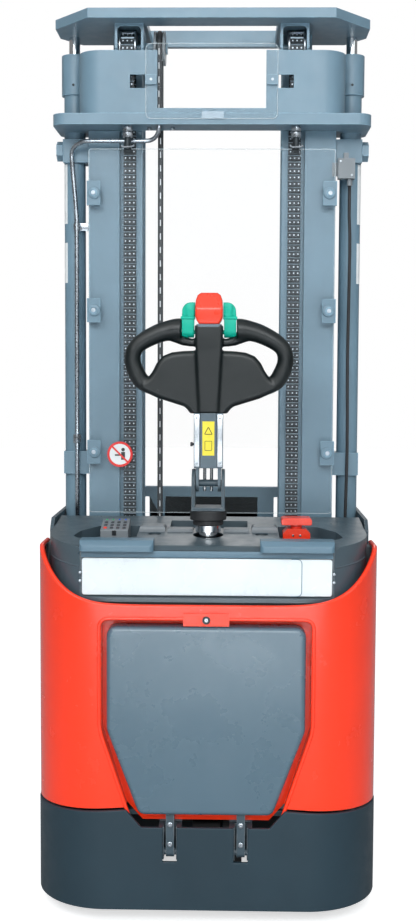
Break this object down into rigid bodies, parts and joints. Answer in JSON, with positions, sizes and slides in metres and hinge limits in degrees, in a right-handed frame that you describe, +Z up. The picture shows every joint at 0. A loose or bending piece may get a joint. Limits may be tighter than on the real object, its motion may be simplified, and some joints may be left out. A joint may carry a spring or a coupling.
{
  "type": "electric stacker truck",
  "caption": "Stand-on electric stacker: boxy drive unit with folding platform, tiller with looped handles, two-stage chain-lift mast and forks over support legs.",
  "frame": {"origin": "floor level under the middle of the truck's length and width", "axes": "+Z up, +Y from the operator towards the fork tips, +X to the operator's right"},
  "size_m": [0.8, 1.84, 2.148],
  "materials": {
    "charcoal_plastic": "satin moulded",
    "red_paint": "gloss",
    "mast_paint": "satin",
    "steel_paint": "satin",
    "zinc": "zinc plated",
    "chrome_rod": "polished",
    "chain_steel": "oiled",
    "grey_plastic": "light moulded",
    "light_panel": "satin",
    "clear_plastic": "clear",
    "black_rubber": "matt",
    "black_plastic": "soft touch",
    "tread": "polyurethane",
    "roller_pu": "polyurethane",
    "red_plastic": "gloss",
    "green_plastic": "soft touch",
    "cast_grey": "painted casting",
    "aluminium": "extruded",
    "roller_steel": "turned"
  },
  "bodies": {
    "truck": {"chassis_frame": "steel_paint", "skirt": "charcoal_plastic", "rear_cover": "red_paint", "dashboard": "charcoal_plastic", "dashboard_pads": "charcoal_plastic", "service_panel": "light_panel", "keypad": "grey_plastic", "stop_base": "red_plastic", "cover_fasteners": "zinc", "outer_channels": "mast_paint", "outer_crosshead": "mast_paint", "cylinder_barrels": "mast_paint", "cylinder_clamps": "mast_paint", "mast_shroud": "mast_paint", "clear_guards": "clear_plastic", "guard_clips": "mast_paint", "hydraulic_pipe": "zinc", "limit_switch": "black_plastic", "switch_cable": "black_rubber", "chain_anchors": "zinc", "battery": "grey_plastic", "power_pack": "cast_grey", "motor_controller": "aluminium", "support_legs": "steel_paint"},
    "stop_knob": {"stop_knob": "red_plastic"},
    "load_roller_left": {"load_roller_left": "roller_pu"},
    "load_roller_right": {"load_roller_right": "roller_pu"},
    "caster_swivel_left": {"caster_swivel_left": "zinc"},
    "caster_swivel_right": {"caster_swivel_right": "zinc"},
    "caster_wheel_left": {"caster_wheel_left": "tread"},
    "caster_wheel_right": {"caster_wheel_right": "tread"},
    "drive_turret": {"drive_gearbox": "cast_grey", "drive_motor": "cast_grey", "steering_column": "chrome_rod", "tiller_boot": "black_rubber", "tiller_bracket": "black_plastic"},
    "drive_wheel": {"drive_wheel": "tread"},
    "tiller": {"tiller_arm": "aluminium", "gas_springs": "zinc", "tiller_head": "black_plastic"},
    "creep_button": {"creep_button": "black_plastic"},
    "belly_button": {"belly_button": "red_plastic"},
    "speed_wings": {"speed_wings": "green_plastic"},
    "lift_rocker": {"lift_rocker": "grey_plastic"},
    "horn_button": {"horn_button": "grey_plastic"},
    "platform": {"platform_arms": "steel_paint", "platform_panel": "charcoal_plastic"},
    "inner_mast": {"inner_channels": "mast_paint", "inner_crosshead": "mast_paint", "pulley_brackets": "mast_paint", "piston_rods": "chrome_rod", "lift_chains": "chain_steel", "mast_hose": "black_rubber"},
    "inner_rollers": {"inner_rollers": "roller_steel"},
    "mast_pulleys": {"chain_pulleys": "roller_steel", "hose_pulley": "grey_plastic"},
    "carriage": {"carriage_frame": "mast_paint", "forks": "steel_paint"},
    "carriage_rollers_upper": {"carriage_rollers_upper": "roller_steel"},
    "carriage_rollers_lower": {"carriage_rollers_lower": "roller_steel"}
  },
  "joints": [
    {"name": "mast_lift", "type": "slide", "parent": "truck", "child": "inner_mast", "axis": [0, 0, 1], "range_m": [0, 1.5], "deforming": ["lift_chains", "mast_hose"]},
    {"name": "fork_lift", "type": "slide", "parent": "inner_mast", "child": "carriage", "axis": [0, 0, 1], "range_m": [0, 1.5]},
    {"name": "mast_pulley_spin", "type": "hinge", "parent": "inner_mast", "child": "mast_pulleys", "pos_m": [0, -0.518, 2.064], "axis": [1, 0, 0], "range_deg": [0, 2388.3]},
    {"name": "inner_roller_spin", "type": "hinge", "parent": "inner_mast", "child": "inner_rollers", "pos_m": [0, -0.42, 0.15], "axis": [1, 0, 0], "range_deg": [0, 1549.5]},
    {"name": "upper_roller_spin", "type": "hinge", "parent": "carriage", "child": "carriage_rollers_upper", "pos_m": [0, -0.42, 0.46], "axis": [1, 0, 0], "range_deg": [0, 2071.9]},
    {"name": "lower_roller_spin", "type": "hinge", "parent": "carriage", "child": "carriage_rollers_lower", "pos_m": [0, -0.42, 0.19], "axis": [1, 0, 0], "range_deg": [0, 2071.9]},
    {"name": "platform_fold", "type": "hinge", "parent": "truck", "child": "platform", "pos_m": [0, -0.89, 0.165], "axis": [1, 0, 0], "range_deg": [0, 90], "stiffness_Nm_per_rad": 26, "springref_deg": -34.38},
    {"name": "steer", "type": "hinge", "parent": "truck", "child": "drive_turret", "pos_m": [0, -0.748, 0.33], "axis": [0, 0, 1], "range_deg": [-90, 90]},
    {"name": "drive_wheel_spin", "type": "hinge", "parent": "drive_turret", "child": "drive_wheel", "pos_m": [0, -0.748, 0.115], "axis": [1, 0, 0], "continuous": true},
    {"name": "tiller_tilt", "type": "hinge", "parent": "drive_turret", "child": "tiller", "pos_m": [0, -0.748, 1.003], "axis": [1, 0, 0], "range_deg": [0, 78], "stiffness_Nm_per_rad": 14, "springref_deg": -45.84},
    {"name": "creep_press", "type": "slide", "parent": "tiller", "child": "creep_button", "axis": [1, 0, 0], "range_m": [0, 0.003], "stiffness_N_per_m": 300, "springref_m": -0.002},
    {"name": "belly_press", "type": "slide", "parent": "tiller", "child": "belly_button", "axis": [0, 0, -1], "range_m": [0, 0.008], "stiffness_N_per_m": 500, "springref_m": -0.01},
    {"name": "speed_twist", "type": "hinge", "parent": "tiller", "child": "speed_wings", "pos_m": [0, -0.748, 1.358], "axis": [1, 0, 0], "range_deg": [-28, 28], "stiffness_Nm_per_rad": 0.8},
    {"name": "lift_rock", "type": "hinge", "parent": "tiller", "child": "lift_rocker", "pos_m": [0, -0.717, 1.34], "axis": [1, 0, 0], "range_deg": [-8, 8], "stiffness_Nm_per_rad": 0.3},
    {"name": "horn_press", "type": "slide", "parent": "tiller", "child": "horn_button", "axis": [0, -1, 0], "range_m": [0, 0.003], "stiffness_N_per_m": 300, "springref_m": -0.001},
    {"name": "stop_press", "type": "slide", "parent": "truck", "child": "stop_knob", "axis": [0, 0, -1], "range_m": [0, 0.008]},
    {"name": "caster_swivel_left_turn", "type": "hinge", "parent": "truck", "child": "caster_swivel_left", "pos_m": [-0.27, -0.72, 0.15], "axis": [0, 0, 1], "continuous": true},
    {"name": "caster_wheel_left_spin", "type": "hinge", "parent": "caster_swivel_left", "child": "caster_wheel_left", "pos_m": [-0.27, -0.694, 0.05], "axis": [1, 0, 0], "continuous": true},
    {"name": "load_roller_left_spin", "type": "hinge", "parent": "truck", "child": "load_roller_left", "pos_m": [-0.195, 0.73, 0.032], "axis": [1, 0, 0], "continuous": true},
    {"name": "caster_swivel_right_turn", "type": "hinge", "parent": "truck", "child": "caster_swivel_right", "pos_m": [0.27, -0.72, 0.15], "axis": [0, 0, 1], "continuous": true},
    {"name": "caster_wheel_right_spin", "type": "hinge", "parent": "caster_swivel_right", "child": "caster_wheel_right", "pos_m": [0.27, -0.694, 0.05], "axis": [1, 0, 0], "continuous": true},
    {"name": "load_roller_right_spin", "type": "hinge", "parent": "truck", "child": "load_roller_right", "pos_m": [0.195, 0.73, 0.032], "axis": [1, 0, 0], "continuous": true}
  ],
  "couplings": [
    {"joint": "fork_lift", "follows": "mast_lift", "ratio": 1},
    {"joint": "mast_pulley_spin", "follows": "mast_lift", "rad_per_m": 27.778},
    {"joint": "inner_roller_spin", "follows": "mast_lift", "rad_per_m": 18.018},
    {"joint": "upper_roller_spin", "follows": "mast_lift", "rad_per_m": 24.096},
    {"joint": "lower_roller_spin", "follows": "mast_lift", "rad_per_m": 24.096}
  ]
}
